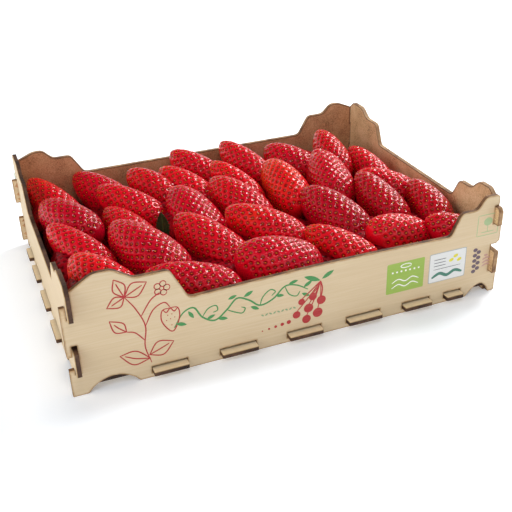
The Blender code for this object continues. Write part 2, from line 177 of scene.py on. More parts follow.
# Block of fruit under both layers: half its footprint, its foot and its mean height, the height of its humps,
# how much it falls at a wall, and from how far
CORE_HALF = (141.0, 101.0)
CORE_FOOT, CORE_HEIGHT, CORE_HUMP, CORE_FALL, CORE_BORDER = 6.9, 29.0, 3.0, 8.0, 12.0

LEAF_FOOT = (-62.5, -12.0, 45.0)
LEAF_TIP = (-63.5, -15.0, 65.0)
LEAF_WIDTH = 9.0
LEAF_THICKNESS = 0.35
LEAF_TEETH = 9

# Print: thickness of a layer of ink, points along a curve and round a field, the bends of a field's border
# for a pointed leaf and for a box, and the widths of a thin line and of a ring of petals
INK = 0.05
CURVE_STEPS = 8
FIELD_STEPS = 40
LEAF_BEND = (1.0, 2.0)
BOX_BEND = (0.06, 0.06)
THIN_LINE = 0.8
RING_LINE = 0.8 * THIN_LINE
# The back board's tower is narrower, so its sprig is scaled and moved by these
BACK_SPRIG_SCALE = (0.85, 0.87, 1.0)
BACK_SPRIG_MOVE = (-12.0, 1.2, 0.0)

# Studio, in metres: half the crate's footprint and the middle of the patch of table round it where a contact
# shadow is painted into the table's glow, and for each soft box its place, size, watts and whether glossy
# skins mirror it. The one that they don't mirror stands for light scattered by the room
FOOTPRINT = (0.150, 0.1115, 0.0)
PAINTED_SHADOW_CENTRE = (0.004, -0.011, 0.0)
FLOOR_HALF = 4.0
LIGHT_TARGET = (0, 0, 0.05)
SOFT_BOXES = {
    "light_right": ((0.76, 0.32, 0.84), (0.54, 0.42), 12.4, True),
    "light_front": ((-0.15, -0.80, 1.50), (0.5, 0.4), 5.0, True),
    "light_left": ((-1.25, -0.25, 0.75), (1.0, 0.9), 9.2, False),
}
# Camera at the photograph's angle: azimuth, elevation and roll in degrees, the point it looks at in
# millimetres, its distance in metres and its lens in millimetres
CAMERA_TURN = (-20.93, 29.18, -1.81)
CAMERA_TARGET = (8.13, -6.6, 9.45)
CAMERA_DISTANCE = 0.61796
CAMERA_LENS = 57.66


def linear(code):
    """Linear RGBA of an sRGB hex colour."""
    parts = np.array([int(code[k:k + 2], 16) for k in (1, 3, 5)]) / 255
    bent = ((parts + 0.055) / 1.055) ** 2.4
    return (*np.where(parts <= 0.04045, parts / 12.92, bent), 1.0)


def connect(tree, node, sockets):
    """Give each of a node's sockets its value, or a link from a socket or from another node's first one."""
    for key, value in sockets.items():
        if isinstance(value, bpy.types.Node):
            value = value.outputs[0]
        if isinstance(value, bpy.types.NodeSocket):
            tree.links.new(value, node.inputs[key])
        else:
            node.inputs[key].default_value = value


def add(tree, kind, sockets=None, stops=None, **settings):
    """Add a shader node with its properties, its sockets' values or links, and its colour stops."""
    made = tree.nodes.new("ShaderNode" + kind)
    for key, value in settings.items():
        setattr(made, key, value)
    connect(tree, made, sockets or {})
    for k, (place, code) in enumerate(stops or []):
        elements = made.color_ramp.elements
        stop = elements[k] if k < len(elements) else elements.new(place)
        stop.position = place
        stop.color = linear(code)
    return made


def new_material(name, **sockets):
    """Principled material and its node tree and shader, with the constants on the shader's own sockets."""
    made = bpy.data.materials.new(name)
    made.use_nodes = True
    shader = made.node_tree.nodes["Principled BSDF"]
    for key, value in sockets.items():
        shader.inputs[key.replace("_", " ")].default_value = value
    return made, made.node_tree, shader


def place_in_scene(made):
    """Link a new object to the scene."""
    bpy.context.scene.collection.objects.link(made)
    return made


def mesh_piece(name, points, triangles, material, slot, replaces=None, smooth=True, attributes=None):
    """Object riding on the crate from arrays of points in millimetres and of corner numbers."""
    mesh = bpy.data.meshes.new(name)
    count = len(triangles)
    mesh.vertices.add(len(points))
    mesh.vertices.foreach_set("co", (points * MM).astype(np.float32).ravel())
    mesh.loops.add(count * 3)
    mesh.loops.foreach_set("vertex_index", triangles.astype(np.int32).ravel())
    mesh.polygons.add(count)
    mesh.polygons.foreach_set("loop_start", np.arange(0, count * 3, 3, dtype=np.int32))
    mesh.polygons.foreach_set("use_smooth", np.full(count, smooth))
    mesh.update(calc_edges=True)
    for key, values in (attributes or {}).items():
        mesh.attributes.new(key, "FLOAT", "POINT").data.foreach_set("value", values.astype(np.float32))
    mesh.materials.append(material)
    made = place_in_scene(bpy.data.objects.new(name, mesh))
    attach(made, "root")
    if replaces:
        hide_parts(replaces)
    return made


def joined(parts):
    """One array of points and one of triangles from several pairs."""
    points, triangles, first = [], [], 0
    for some_points, some_triangles in parts:
        points.append(some_points)
        triangles.append(some_triangles + first)
        first += len(some_points)
    return np.concatenate(points), np.concatenate(triangles)


# Materials

def poplar_veneer(name, tones):
    """Rotary-cut poplar veneer, sanded and unsealed: pale cream, dull, with long fine fibres along the
    board. Fibres are 0.5 to 1.5 mm wide, drawn at that size, and the laser leaves a golden border."""
    made, tree, shader = new_material(name, Roughness=0.62, IOR=1.45)
    spot = add(tree, "UVMap", uv_map="board")
    long_fibre = add(tree, "Mapping", {"Vector": spot, "Scale": (22.0, 900.0, 1.0)})
    fibre = add(tree, "TexNoise", {"Vector": long_fibre, "Scale": 1.0, "Detail": 3.0, "Roughness": 0.6,
                                   "Distortion": 0.25})
    figure = add(tree, "Mapping", {"Vector": spot, "Scale": (9.0, 75.0, 1.0)})
    cloud = add(tree, "TexNoise", {"Vector": figure, "Scale": 1.0, "Distortion": 0.8})
    both = add(tree, "Math", {0: cloud, 1: 0.35}, operation="MULTIPLY")
    mixed = add(tree, "Math", {0: fibre, 1: 0.65, 2: both}, operation="MULTIPLY_ADD")
    wood = add(tree, "ValToRGB", {"Fac": mixed}, zip((0.30, 0.48, 0.66), tones))
    burn = add(tree, "Attribute", attribute_name="burn").outputs["Fac"]
    patchy = add(tree, "TexNoise", {"Vector": spot, "Scale": 160.0})
    strength = add(tree, "Math", {0: burn, 1: patchy}, operation="MULTIPLY")
    capped = add(tree, "MapRange", {"Value": strength, "From Min": 0.05, "From Max": 0.55, "To Max": 0.85})
    toasted = add(tree, "Mix", {"Factor": capped, COLOUR_A: wood, COLOUR_B: linear("#9A6F3C")},
                  data_type="RGBA").outputs[MIXED]
    bump = add(tree, "Bump", {"Height": fibre, "Strength": 0.25, "Distance": 0.00012})
    connect(tree, shader, {"Base Color": toasted, "Normal": bump})
    return made


def brown_hardboard(name, tones):
    """Wet-pressed hardboard, the inner face of each board: warm brown, matt, with dark and light specks of
    fibre 0.4 to 1 mm across and a soft cloudiness of a few centimetres."""
    made, tree, shader = new_material(name, Roughness=0.72, IOR=1.45)
    spot = add(tree, "TexCoord").outputs["Object"]
    speck = add(tree, "TexNoise", {"Vector": spot, "Scale": 1300.0, "Roughness": 0.7})
    cloud = add(tree, "TexNoise", {"Vector": spot, "Scale": 60.0, "Detail": 3.0})
    low = add(tree, "Math", {0: cloud, 1: 0.4}, operation="MULTIPLY")
    mixed = add(tree, "Math", {0: speck, 1: 0.6, 2: low}, operation="MULTIPLY_ADD")
    board = add(tree, "ValToRGB", {"Fac": mixed}, zip((0.33, 0.45, 0.55, 0.68), tones))
    burn = add(tree, "Attribute", attribute_name="burn").outputs["Fac"]
    scorched = add(tree, "Mix", {"Factor": burn, COLOUR_A: board, COLOUR_B: linear("#5B3A26")},
                   data_type="RGBA").outputs[MIXED]
    bump = add(tree, "Bump", {"Height": speck, "Strength": 0.3, "Distance": 0.0001})
    connect(tree, shader, {"Base Color": scorched, "Normal": bump})
    return made


def charred_edge(name, tones):
    """Laser-cut edge of the board: a pale line of veneer on the outer side, then brown to black char in
    streaks across the thickness, dull and a little sooty."""
    made, tree, shader = new_material(name, Roughness=0.7, IOR=1.45)
    spot = add(tree, "TexCoord").outputs["Object"]
    soot = add(tree, "TexNoise", {"Vector": spot, "Scale": 95.0, "Detail": 4.0, "Roughness": 0.65})
    char = add(tree, "ValToRGB", {"Fac": soot}, zip((0.32, 0.44, 0.56, 0.70), tones))
    depth = add(tree, "Attribute", attribute_name="depth").outputs["Fac"]
    line = add(tree, "MapRange", {"Value": depth, "From Min": 0.08, "From Max": 0.18, "To Min": 0.8,
                                  "To Max": 0.0})
    mixed = add(tree, "Mix", {"Factor": line, COLOUR_A: char, COLOUR_B: linear("#C9A873")},
                data_type="RGBA").outputs[MIXED]
    bump = add(tree, "Bump", {"Height": soot, "Strength": 0.4, "Distance": 0.0002})
    connect(tree, shader, {"Base Color": mixed, "Normal": bump})
    return made


def strawberry_skin(name="strawberry_skin_fresh", coat=0.9):
    """Skin of a ripe strawberry: wet-looking and saturated, light enters the flesh a few millimetres, each
    pit is painted a darker red as the shade in its hollow, and the hue runs from crimson to orange-red by
    berry and by patch."""
    made, tree, shader = new_material(
        name, Roughness=0.4, IOR=1.40, Specular_IOR_Level=0.10, Subsurface_Weight=0.05,
        Subsurface_Scale=0.002, Subsurface_Radius=(1.0, 0.12, 0.08), Coat_Weight=coat, Coat_Roughness=0.05,
        Coat_IOR=1.40)
    hue, reach, light = (add(tree, "Attribute", attribute_name=key).outputs["Fac"]
                         for key in ("hue", "reach", "light"))
    spot = add(tree, "TexCoord").outputs["Object"]
    patch = add(tree, "TexNoise", {"Vector": spot, "Scale": 70.0})
    shifted = add(tree, "Math", {0: patch, 1: 0.5, 2: hue}, operation="MULTIPLY_ADD")
    flesh = add(tree, "ValToRGB", {"Fac": shifted},
                [(0.05, "#B40024"), (0.40, "#D00222"), (0.70, "#DE0C1A"), (0.98, "#EA400E")])
    # Painted shade in the pits: the skin turns darker red towards each pit's middle
    pit_painted_shade = add(tree, "MapRange", {"Value": reach, "From Min": 0.22, "From Max": 0.66, "To Min": 1.0,
                                    "To Max": 0.0}, interpolation_type="SMOOTHSTEP")
    shaded = add(tree, "Mix", {"Factor": pit_painted_shade, COLOUR_A: flesh, COLOUR_B: linear("#6A0006")},
                 data_type="RGBA").outputs[MIXED]
    # The attribute light: each top berry's own lightness, and for the lower layer a painted shade
    toned = add(tree, "Mix", {"Factor": 1.0, COLOUR_A: shaded, COLOUR_B: light},
                data_type="RGBA", blend_type="MULTIPLY").outputs[MIXED]
    rim = add(tree, "ValToRGB", {"Fac": reach},
              [(0.0, "#000000"), (0.42, "#404040"), (0.60, "#D0D0D0"), (0.72, "#FFFFFF"), (1.0, "#FFFFFF")])
    rim.color_ramp.interpolation = "B_SPLINE"
    lip = add(tree, "Bump", {"Height": rim, "Strength": 0.85, "Distance": 0.00045})
    grain = add(tree, "TexNoise", {"Vector": spot, "Scale": 900.0})
    bump = add(tree, "Bump", {"Height": grain, "Strength": 0.12, "Distance": 0.00015, "Normal": lip})
    connect(tree, shader, {"Base Color": toned, "Normal": bump})
    return made


def dry_seed():
    """Seed on the skin: hard, smooth and faintly waxy, rusty to golden orange, and olive near the tip."""
    made, tree, shader = new_material("strawberry_seed_dry", Roughness=0.5, IOR=1.45, Specular_IOR_Level=0.3)
    tone = add(tree, "Attribute", attribute_name="tone").outputs["Fac"]
    colour = add(tree, "ValToRGB", {"Fac": tone},
                 [(0.0, "#A02C08"), (0.35, "#D2500C"), (0.65, "#F4821C"), (1.0, "#C08C2C")])
    connect(tree, shader, {"Base Color": colour})
    return made


def shaded_deep_flesh():
    """Fruit at the bottom of the gaps, painted a near-black red as the shade there: half dull, cloudy over a
    centimetre.
    """
    made, tree, shader = new_material("strawberry_flesh_in_shade", Roughness=0.75, IOR=1.4,
                                      Specular_IOR_Level=0.1)
    spot = add(tree, "TexCoord").outputs["Object"]
    cloud = add(tree, "TexNoise", {"Vector": spot, "Scale": 90.0, "Detail": 3.0})
    # Painted shade: near-black reds for the fruit at the bottom of the gaps
    colour = add(tree, "ValToRGB", {"Fac": cloud}, [(0.3, "#1E0203"), (0.7, "#4A0506")])
    connect(tree, shader, {"Base Color": colour})
    return made


def fresh_leaf():
    """Strawberry leaf: dark matt green with paler veins at about 2 mm, thin enough to let light through."""
    made, tree, shader = new_material("strawberry_leaf_fresh", Roughness=0.5, IOR=1.45,
                                      Subsurface_Weight=0.1, Subsurface_Scale=0.001)
    vein = add(tree, "Attribute", attribute_name="vein").outputs["Fac"]
    colour = add(tree, "ValToRGB", {"Fac": vein}, [(0.0, "#22361A"), (0.6, "#2F4720"), (1.0, "#53683A")])
    connect(tree, shader, {"Base Color": colour})
    return made


def printing_ink(name, code):
    """Screen-printed ink on raw veneer: matt, sunk into the fibres, so that thin lines of wood show."""
    made, tree, shader = new_material(name, Roughness=0.6, IOR=1.45)
    spot = add(tree, "TexCoord").outputs["Object"]
    fibre = add(tree, "Mapping", {"Vector": spot, "Scale": (30.0, 30.0, 900.0)})
    grain = add(tree, "TexNoise", {"Vector": fibre, "Scale": 1.0, "Detail": 3.0})
    bare = add(tree, "MapRange", {"Value": grain, "From Min": 0.35, "From Max": 0.75, "To Max": 0.06})
    colour = add(tree, "Mix", {"Factor": bare, COLOUR_A: linear(code), COLOUR_B: linear("#D8C6A4")},
                 data_type="RGBA").outputs[MIXED]
    connect(tree, shader, {"Base Color": colour})
    return made


def studio_floor():
    """Matt white table of light-passing acrylic, lit from below, with the faintest mottling. Close to the
    crate's footprint its glow is turned down as a painted contact shadow."""
    made, tree, shader = new_material("studio_table_glowing_painted_shadow", Roughness=0.9, Emission_Strength=1.0)
    spot = add(tree, "TexCoord").outputs["Object"]
    # Painted shadow: the glow is least at the crate's footprint, rises steeply over 3 cm and slowly on to a
    # metre
    moved = add(tree, "VectorMath", {0: spot, 1: PAINTED_SHADOW_CENTRE}, operation="SUBTRACT")
    folded = add(tree, "VectorMath", {0: moved}, operation="ABSOLUTE")
    past = add(tree, "VectorMath", {0: folded, 1: FOOTPRINT}, operation="SUBTRACT")
    outside = add(tree, "VectorMath", {0: past, 1: (0.0, 0.0, 0.0)}, operation="MAXIMUM")
    away = add(tree, "VectorMath", {0: outside}, operation="LENGTH").outputs["Value"]
    glow_with_painted_shadow = add(tree, "ValToRGB", {"Fac": away}, [(0.0, "#757779"), (0.010, "#898C8E"), (0.03, "#A6A9AC"),
                                                 (0.4, "#ABAEB1"), (1.0, "#DADDE1")])
    cloud = add(tree, "TexNoise", {"Vector": spot, "Scale": 3.0})
    colour = add(tree, "ValToRGB", {"Fac": cloud}, [(0.0, "#F0F3F8"), (1.0, "#F2F5FA")])
    connect(tree, shader, {"Emission Color": glow_with_painted_shadow, "Base Color": colour})
    return made


# Boards

def border_distance(points, starts, ends):
    """Distance of flat points to the nearest of some straight edges, and whether the edges enclose them.

    The distance is to the foot of the perpendicular, held to the edge's two ends. A point is enclosed
    when a level ray from it crosses the edges an odd number of times.
    """
    span = ends - starts
    from_start = points[:, None] - starts
    share = np.clip((from_start * span).sum(-1) / (span ** 2).sum(-1), 0.0, 1.0)
    distance = np.linalg.norm(from_start - share[..., None] * span, axis=-1).min(1)
    rise = np.where(np.abs(span[:, 1]) < 1e-9, 1e-9, span[:, 1])
    crossing = starts[:, 0] + from_start[..., 1] / rise * span[:, 0]
    level = (starts[:, 1] > points[:, 1:2]) != (ends[:, 1] > points[:, 1:2])
    enclosed = (level & (points[:, :1] < crossing)).sum(1) % 2 == 1
    return distance, enclosed


def border_points(starts, ends):
    """Points inside an outline where the scorch is to be drawn: rows at the distances SCORCH_ROWS from
    every edge and round every corner, and a wide grid over the rest."""
    found = []
    turns = np.linspace(0, FULL_TURN, CORNER_POINTS, endpoint=False)
    circle = np.stack([np.cos(turns), np.sin(turns)], -1)
    span = ends - starts
    for start, way, size in zip(starts, span, np.linalg.norm(span, axis=1)):
        count = max(round(size / ROW_STEP), 1)
        places = start + (np.arange(count) + 0.5)[:, None] / count * way
        side = np.array([-way[1], way[0]]) / size
        for gap in SCORCH_ROWS:
            found += [places + side * gap, places - side * gap, start + gap * circle,
                      start + way + gap * circle]
    found = np.unique(np.round(np.concatenate(found), 1), axis=0)
    distance, enclosed = border_distance(found, starts, ends)
    close = np.min([np.abs(distance - gap) for gap in SCORCH_ROWS], axis=0) < ROW_SLACK
    found = found[close & enclosed]
    x, z = (np.arange(low, high, GRID_STEP) for low, high in zip(starts.min(0), starts.max(0)))
    grid = np.stack(np.meshgrid(x, z), -1).reshape(-1, 2)
    distance, enclosed = border_distance(grid, starts, ends)
    return np.concatenate([found, grid[enclosed & (distance > GRID_GAP)]])


def refined_board(node, outwards, along, up, materials, scorch=1.0):
    """Copy of a packed board, standing for it, with veneer outside, hardboard inside and charred edges.

    Each face is triangulated anew, with rows of points beside every cut. The attribute burn falls from
    scorch at a cut to 0 at SCORCH_REACH from it, depth runs from 0 at the outer face to 1 at the inner,
    and the UV map holds the distances along and up the board in metres.
    """
    outwards, along, up = (np.array(v, float) for v in (outwards, along, up))
    plane = np.stack([along, up], 1)
    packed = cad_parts[node].data
    packed.calc_loop_triangles()
    corners = np.array([v.co for v in packed.vertices]) / MM
    triangles = np.array([t.vertices for t in packed.loop_triangles])
    corners, merged = np.unique(np.round(corners, 3), axis=0, return_inverse=True)
    triangles = merged.ravel()[triangles]
    a, b, c = (corners[triangles[:, k]] for k in range(3))
    normals = np.cross(b - a, c - a)
    normals /= np.maximum(np.linalg.norm(normals, axis=1, keepdims=True), 1e-12)
    facing = normals @ outwards
    cuts = triangles[np.abs(facing) < FACES_OUT]
    parts, finish, burns = [(corners, cuts)], [np.full(len(cuts), 2)], [np.ones(len(corners))]
    for side, index in ((1, 0), (-1, 1)):
        flat = triangles[facing * side > FACES_OUT]
        sides = np.concatenate([flat[:, [0, 1]], flat[:, [1, 2]], flat[:, [2, 0]]])
        ordered, uses = np.unique(np.sort(sides, 1), axis=0, return_counts=True)
        used, numbered = np.unique(ordered[uses == 1], return_inverse=True)
        numbered = numbered.reshape(-1, 2)
        outline = corners[used] @ plane
        starts, ends = outline[numbered[:, 0]], outline[numbered[:, 1]]
        spots = np.concatenate([outline, border_points(starts, ends)])
        made = delaunay_2d_cdt([tuple(p) for p in spots], numbered.tolist(), [], 1, MERGED_WITHIN)
        placed = np.array([tuple(p) for p in made[0]])
        drawn = np.array([f for f in made[2] if len(f) == 3])
        drawn = drawn[border_distance(placed[drawn].mean(1), starts, ends)[1]]
        spread = placed @ plane.T + (corners[used[0]] @ outwards) * outwards
        p, q, r = (spread[drawn[:, k]] for k in range(3))
        turned = (np.cross(q - p, r - p) @ outwards) * side < 0
        drawn[turned] = drawn[turned][:, ::-1]
        parts.append((spread, drawn))
        past_corner = np.abs(spread[drawn].mean(1) @ along) > END_FACE
        finish.append(np.where(past_corner, 0, index))
        share = 1.0 - border_distance(placed, starts, ends)[0] / SCORCH_REACH
        burns.append(scorch * np.clip(share, 0.0, 1.0))
    points, faces = joined(parts)
    finish, burns = np.concatenate(finish), np.concatenate(burns)
    points, kept, merged = np.unique(np.round(points, 3), axis=0, return_index=True, return_inverse=True)
    faces = merged.ravel()[faces]
    depth = ((points @ outwards).max() - points @ outwards) / BOARD
    made = mesh_piece(node.replace("panel", "board"), points, faces, materials[0], "veneer", node,
                      attributes={"burn": burns[kept], "depth": depth})
    for material in materials[1:]:
        made.data.materials.append(material)
    made.data.polygons.foreach_set("material_index", finish.astype(np.int32))
    made.data.polygons.foreach_set("use_smooth", finish == 2)
    made.data.set_sharp_from_angle(angle=math.radians(SHARP_ANGLE))
    layout = made.data.uv_layers.new(name="board")
    layout.data.foreach_set("uv", (points[faces.ravel()] @ plane * MM).astype(np.float32).ravel())


# Fruit

def berry_profile(s):
    """Radius of a berry, as a share of its greatest, at the share s of the way from tip to stem end."""
    front = (1 - (1 - np.minimum(s / WIDEST_AT, 1.0)) ** 2) ** TIP_TAPER
    past = np.maximum(s - WIDEST_AT, 0.0) / (1 - WIDEST_AT)
    return np.where(s < WIDEST_AT, front, np.maximum(1 - past ** STEM_TAPER, 0.0) ** 0.5)


def berry_axes(heading, dip):
    """Unit vectors along a berry from tip to stem end, across it and up its back."""
    h, d = math.radians(heading), math.radians(dip)
    along = np.array([math.cos(h) * math.cos(d), -math.sin(h) * math.cos(d), -math.sin(d)])
    across = np.cross(along, [0.0, 0.0, 1.0])
    across /= np.linalg.norm(across)
    return along, across, np.cross(across, along)


class Berry:
    """Shape of one berry before its pits: a body of revolution about an axis that bows a little, with two,
    three and five shallow lobes round it whose phase turns along it, and deeper below by its belly."""

    def __init__(self, numbers, draw, belly=0.0, furrow=0.0):
        x, y, z, heading, dip, self.length, self.width = numbers
        self.tip = np.array([x, y, z], float)
        self.along, self.across, self.back = berry_axes(heading, dip)
        self.bow = draw.uniform(-BOW, BOW)
        self.lobes = [(count, draw.uniform(low, high), draw.uniform(0, ANY_TURN),
                       draw.uniform(-twist, twist)) for count, low, high, twist in LOBES]
        self.belly = belly
        self.furrow = furrow
        self.phase = draw.uniform(0, ANY_TURN)
        self.fine = np.linspace(0.0, 1.0, FINE_STEPS)
        self.radius = self.width / 2 * berry_profile(self.fine)
        steps = np.hypot(np.diff(self.fine * self.length), np.diff(self.radius))
        self.reach = np.concatenate([[0.0], np.cumsum(steps)])

    def centre(self, s):
        """Points on the straight line from tip to stem end."""
        return self.tip + (s * self.length)[..., None] * self.along

    def at(self, s, turn):
        """Points for arrays of shares along the berry and of turns round it, in radians."""
        swell = 1.0 + sum(a * np.cos(k * turn + p + q * s) for k, a, p, q in self.lobes)
        groove = self.furrow * np.exp(-((s - FURROW_AT) / FURROW_WIDTH) ** 2) * np.clip(np.sin(turn), 0, 1)
        swell = swell + self.belly * np.clip(-np.sin(turn), 0, 1) ** 2
        radius = self.width / 2 * berry_profile(s) * swell - groove
        centre = self.centre(s) + (self.bow * np.sin(math.pi * s))[..., None] * self.across
        outwards = np.cos(turn)[..., None] * self.across + np.sin(turn)[..., None] * self.back
        return centre + radius[..., None] * outwards

    def frame_at(self, s, turn):
        """Points, outward normals and unit vectors towards the stem end, from small differences."""
        here = self.at(s, turn)
        ahead, behind = np.minimum(s + SMALL_SHARE, 1.0), np.maximum(s - SMALL_SHARE, 0.0)
        lengthways = self.at(ahead, turn) - self.at(behind, turn)
        round_it = self.at(s, turn + SMALL_TURN) - self.at(s, turn - SMALL_TURN)
        normal = np.cross(round_it, lengthways)
        normal /= np.linalg.norm(normal, axis=-1, keepdims=True)
        normal *= np.sign(np.sum(normal * (here - self.centre(s)), axis=-1, keepdims=True) + 1e-12)
        lengthways /= np.linalg.norm(lengthways, axis=-1, keepdims=True)
        return here, normal, lengthways

    def pit_sites(self, draw, shown):
        """Places of the pits as shares and turns: a spiral by the golden angle, with equal skin for each
        pit, closer together at the tip, and a small seeded wander. Only those on the shown side."""
        pitch = PIT_PITCH - (PIT_PITCH - PIT_PITCH_AT_TIP) * np.exp(-self.reach / PITCH_REACH)
        skin = FULL_TURN * self.radius / (HEXAGON * pitch ** 2)
        total = np.concatenate([[0.0], np.cumsum((skin[1:] + skin[:-1]) / 2 * np.diff(self.reach))])
        count = int(total[-1])
        order = np.arange(count) + 0.5
        s = np.interp(order / count * total[-1], total, self.fine)
        turn = order * GOLDEN_TURN + self.phase
        wander = np.array([draw.uniform(-PIT_WANDER, PIT_WANDER) for _ in range(2 * count)])
        s = s + wander[:count] / self.length
        turn = turn + wander[count:] / np.maximum(np.interp(s, self.fine, self.radius), 2.0)
        from_top = np.abs((turn - math.pi / 2 + math.pi) % FULL_TURN - math.pi)
        keep = (from_top < math.radians(shown)) & (s < PITS_TO) & (s > PITS_FROM)
        return s[keep], turn[keep]


def spread_turns(width, spacing, shown):
    """Turns round a berry, in radians: close on the shown side about the top and wide underneath."""
    half = math.radians(shown)
    close = max(int(2 * half * width / 2 / spacing), 12)
    wide = max(int((FULL_TURN - 2 * half) * width / 2 / (spacing * 4)), 5)
    top = np.linspace(-half, half, close, endpoint=False)
    below = np.linspace(half, FULL_TURN - half, wide, endpoint=False)
    return math.pi / 2 + np.concatenate([top, below])


def tube_triangles(rows, columns):
    """Triangles of a closed tube of rows and columns whose two ends meet in a pole each.

    The first point is the first pole, then the rows follow, and the last point is the second pole.
    """
    ring = 1 + np.arange(rows * columns).reshape(rows, columns)
    after = np.roll(ring, -1, axis=1)
    a, b, c, d = ring[:-1], after[:-1], ring[1:], after[1:]
    skin = [np.stack([a, b, d], -1).reshape(-1, 3), np.stack([a, d, c], -1).reshape(-1, 3)]
    first_cap = np.stack([0 * ring[0], after[0], ring[0]], -1)
    last_cap = np.stack([0 * ring[0] + rows * columns + 1, ring[-1], after[-1]], -1)
    return np.concatenate([first_cap, *skin, last_cap])


def closed_plate(front, back):
    """Points and triangles of a plate between two grids of points, with a wall along their edge.

    The front grid faces along its step to the next row crossed with its step to the next column, and the
    back grid faces the other way.
    """
    rows, columns = front.shape[:2]
    number = np.arange(rows * columns).reshape(rows, columns)
    a, b, c, d = number[:-1, :-1], number[:-1, 1:], number[1:, :-1], number[1:, 1:]
    faces = np.concatenate([np.stack(corners, -1).reshape(-1, 3) for corners in ((a, c, d), (a, d, b))])
    rim = np.concatenate([number[0], number[1:, -1], number[-1, -2::-1], number[-2:0:-1, 0]])
    after = np.roll(rim, -1)
    far, far_after = rim + number.size, after + number.size
    wall = [np.stack([rim, after, far_after], -1), np.stack([rim, far_after, far], -1)]
    points = np.concatenate([front.reshape(-1, 3), back.reshape(-1, 3)])
    return points, np.concatenate([faces, faces[:, ::-1] + number.size, *wall])


def pit_size(from_tip):
    """Size of a pit as a share of the full one: 1 less TIP_SHRINK times exp(-distance / TIP_REACH)."""
    return 1.0 - TIP_SHRINK * np.exp(-from_tip / TIP_REACH)


def berry_skin(berry, spacing, draw, shown):
    """Points and triangles of a berry's skin, how far each point is from a pit, and the sites of its seeds.

    By the distance to the nearest site, the skin sinks by PIT_DEPTH times exp(-(distance / PIT_RADIUS)^2.8)
    and stands up in a rim round the pit by RIM_HEIGHT times exp(-((distance - RIM_RADIUS) / RIM_WIDTH)^2).
    """
    rows = max(int(berry.reach[-1] / spacing), 8)
    levels = np.interp(np.linspace(0, berry.reach[-1], rows + 2)[1:-1], berry.reach, berry.fine)
    turns = spread_turns(berry.width, spacing, shown)
    points, normals, _ = berry.frame_at(*np.meshgrid(levels, turns, indexing="ij"))
    ends = berry.at(np.array([0.0, 1.0]), np.zeros(2))
    points = np.concatenate([ends[:1], points.reshape(-1, 3), ends[1:]])
    normals = np.concatenate([-berry.along[None], normals.reshape(-1, 3), berry.along[None]])
    site_s, site_turn = berry.pit_sites(draw, shown)
    sites, out, lengthways = berry.frame_at(site_s, site_turn)
    square = (points ** 2).sum(1)[:, None] + (sites ** 2).sum(1)[None] - 2 * points @ sites.T
    size = pit_size(np.linalg.norm(points - berry.tip, axis=1))
    nearest = np.sqrt(np.maximum(square.min(1), 0.0)) / size
    relief = RIM_HEIGHT * np.exp(-((nearest - RIM_RADIUS) / RIM_WIDTH) ** 2)
    relief = relief - PIT_DEPTH * np.exp(-(nearest / PIT_RADIUS) ** 2.8)
    points = points + normals * (size * relief)[:, None]
    triangles = tube_triangles(rows, len(turns))
    return points, triangles, np.minimum(nearest / PIT_REACH, 1.0), (site_s, sites, out, lengthways)


def seed_shapes(sites, out, lengthways, depth, draw):
    """Points and triangles of small pointed ovals, one on each site, half sunk in its pit.

    An oval has two rings of six between its ends, wider towards the stem end, and lies along the berry.
    """
    ring = np.linspace(0, FULL_TURN, 6, endpoint=False)
    sideways = np.cross(out, lengthways)
    local = [(-1.0, 0.0, 0.0)]
    for place, width in ((-0.35, 0.85), (0.45, 0.95)):
        local += [(place, width * math.cos(t), width * math.sin(t)) for t in ring]
    local = np.array([*local, (1.0, 0.0, 0.0)])
    size = np.array([draw.uniform(*SEED_SPREAD) for _ in sites])[:, None, None]
    centre = sites + out * (SEED_RISE - depth)[:, None]
    points = (local[None, :, :1] * SEED_SIZE[0] * lengthways[:, None]
              + local[None, :, 1:2] * SEED_SIZE[1] * sideways[:, None]
              + local[None, :, 2:] * SEED_SIZE[2] * out[:, None]) * size + centre[:, None]
    triangles = tube_triangles(2, 6)[None, :, ::-1] + np.arange(len(sites))[:, None, None] * len(local)
    return points.reshape(-1, 3), triangles.reshape(-1, 3), len(local)


def lower_layer():
    """Berries of the second layer, each moved in from the walls where its row would run through one."""
    draw = random.Random(LOWER_SEED)
    berries = []
    row = 0
    y = LOWER_START[1]
    while y > -LOWER_START[1]:
        x = LOWER_START[0] + LOWER_PITCH[0] / 2 * (row % 2)
        while x < -LOWER_START[0]:
            z, heading, dip, length, width = [
                mean + draw.uniform(-spread, spread) for mean, spread in zip(LOWER_BERRY, LOWER_SPREAD)]
            tip = [place + draw.uniform(-LOWER_WANDER, LOWER_WANDER) for place in (x, y)]
            along = berry_axes(heading, dip)[0]
            t = np.linspace(0, 1, 11)
            for k in (0, 1):
                middle = along[k] * length * t
                radius = width / 2 * berry_profile(t) * math.sqrt(1 - along[k] ** 2)
                low, high = tip[k] + (middle - radius).min(), tip[k] + (middle + radius).max()
                tip[k] += max(-INSIDE[k] - low, 0.0) - max(high - INSIDE[k], 0.0)
            berries.append((*tip, z, heading, dip, length, width))
            x += LOWER_PITCH[0]
        y -= LOWER_PITCH[1]
        row += 1
    return berries


